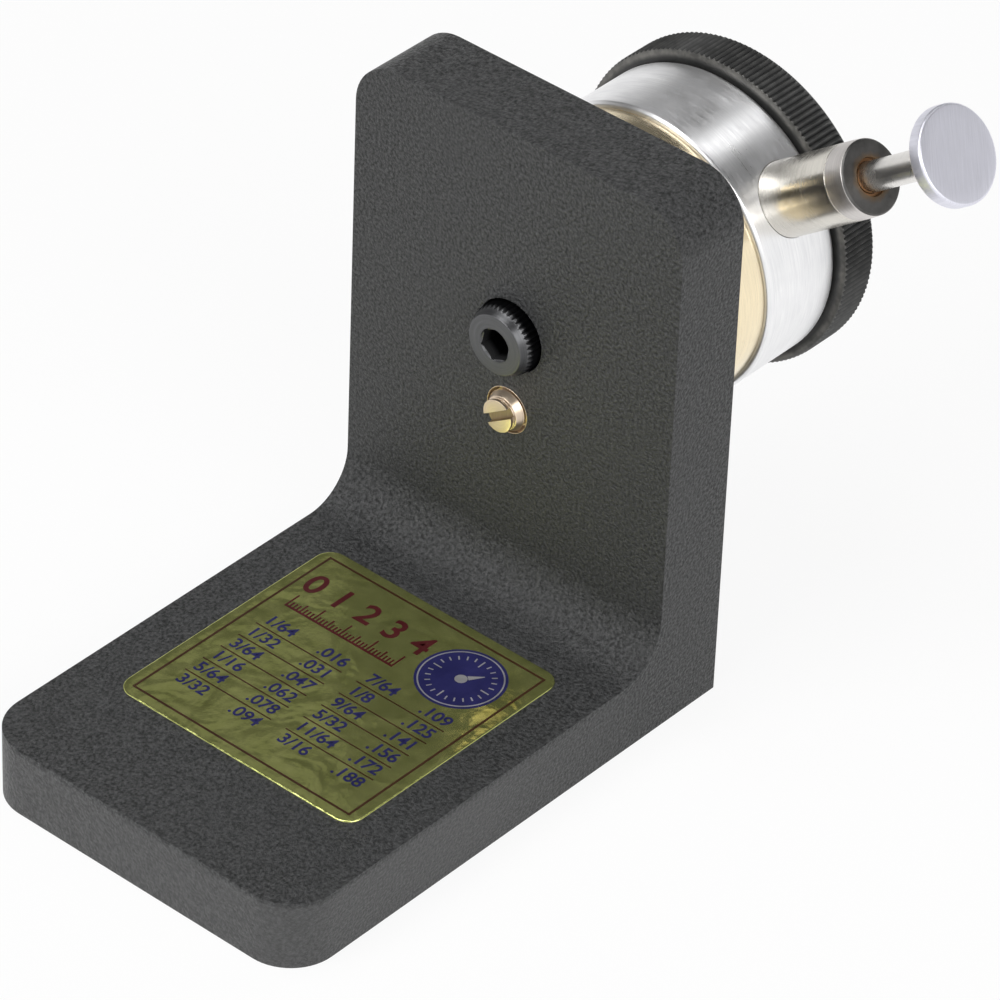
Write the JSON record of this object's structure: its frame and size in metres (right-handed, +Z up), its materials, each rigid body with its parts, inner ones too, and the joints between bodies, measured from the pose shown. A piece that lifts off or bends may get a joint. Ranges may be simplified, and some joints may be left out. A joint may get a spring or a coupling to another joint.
{
  "type": "planer knife setting gauge",
  "caption": "Planer knife setting gauge: an L-shaped bracket with a dial indicator on a lockable swivel behind its upright plate, with a flat disc contact.",
  "frame": {"origin": "middle of the foot's underside", "axes": "+Z up, +Y from the foot towards the upright plate and the dial, +X to the right seen from the foot side, which is the side the stem points to"},
  "size_m": [0.0695, 0.1073, 0.08],
  "materials": {
    "wrinkle_coat": "wrinkle coat",
    "gold_foil": "mirror foil",
    "black_oxide": "black oxide",
    "steel": "satin",
    "polished_steel": "polished",
    "spring_steel": "bright",
    "blued_steel": "blued",
    "brass": "turned",
    "bronze": "sintered",
    "aluminium": "turned satin",
    "gold_cover": "anodised, polished",
    "black_bezel": "black anodised",
    "white_dial": "printed",
    "black_pointer": "matt",
    "clear": "clear",
    "nylon": "natural"
  },
  "bodies": {
    "base": {"bracket": "wrinkle_coat", "foil_label": "gold_foil", "spring_washer": "spring_steel", "friction_washer": "nylon", "lock_bush": "brass"},
    "lock": {"lock_screw": "brass"},
    "indicator": {"pivot_screw": "black_oxide", "swivel_hub": "aluminium", "hub_screws": "steel", "back_cover": "gold_cover", "case": "aluminium", "stem": "steel", "stem_bush": "bronze", "upper_bush": "bronze", "dust_cap": "steel", "guide_rail": "brass", "rail_screws": "steel", "spring_post": "steel", "return_spring": "spring_steel", "bottom_plate": "brass", "bottom_plate_screws": "steel", "pillars": "brass", "top_plate": "brass", "top_plate_screws": "steel", "pinion_bridge": "brass", "bridge_screw": "steel", "hairspring_stud": "steel", "bezel_ring": "spring_steel"},
    "plunger": {"spindle": "polished_steel", "contact_disc": "steel", "guide_pin": "steel"},
    "rack_gear": {"rack_pinion": "steel", "drive_wheel": "brass"},
    "needle": {"centre_pinion": "steel", "pointer": "black_pointer"},
    "take_up": {"take_up_wheel": "brass", "hairspring": "blued_steel"},
    "dial_ring": {"bezel": "black_bezel", "dial_face": "white_dial", "crystal": "clear"}
  },
  "joints": [
    {"name": "indicator_swivel", "type": "hinge", "parent": "base", "child": "indicator", "pos_m": [0, 0.03775, 0.0459], "axis": [0, 1, 0], "continuous": true},
    {"name": "lock_turn", "type": "hinge", "parent": "base", "child": "lock", "pos_m": [0, 0.02665, 0.03495], "axis": [0, -1, 0], "range_deg": [-90, 360]},
    {"name": "spindle_slide", "type": "slide", "parent": "indicator", "child": "plunger", "axis": [-0.807, 0, -0.5906], "range_m": [0, 0.00635], "stiffness_N_per_m": 60, "springref_m": -0.012, "deforming": ["return_spring"]},
    {"name": "pinion_turn", "type": "hinge", "parent": "indicator", "child": "rack_gear", "pos_m": [-0.00887, 0.05865, 0.0438], "axis": [0, 1, 0], "range_deg": [-2, 152]},
    {"name": "pointer_turn", "type": "hinge", "parent": "indicator", "child": "needle", "pos_m": [0, 0.05865, 0.0459], "axis": [0, 1, 0], "range_deg": [-905, 5]},
    {"name": "take_up_turn", "type": "hinge", "parent": "indicator", "child": "take_up", "pos_m": [0.00815, 0.05865, 0.04181], "axis": [0, 1, 0], "range_deg": [-2, 152]},
    {"name": "bezel_turn", "type": "hinge", "parent": "indicator", "child": "dial_ring", "pos_m": [0, 0.06675, 0.0459], "axis": [0, 1, 0], "continuous": true}
  ],
  "couplings": [
    {"joint": "pinion_turn", "follows": "spindle_slide", "rad_per_m": 412.28},
    {"joint": "pointer_turn", "follows": "spindle_slide", "rad_per_m": -2473.7},
    {"joint": "take_up_turn", "follows": "spindle_slide", "rad_per_m": 412.28}
  ]
}
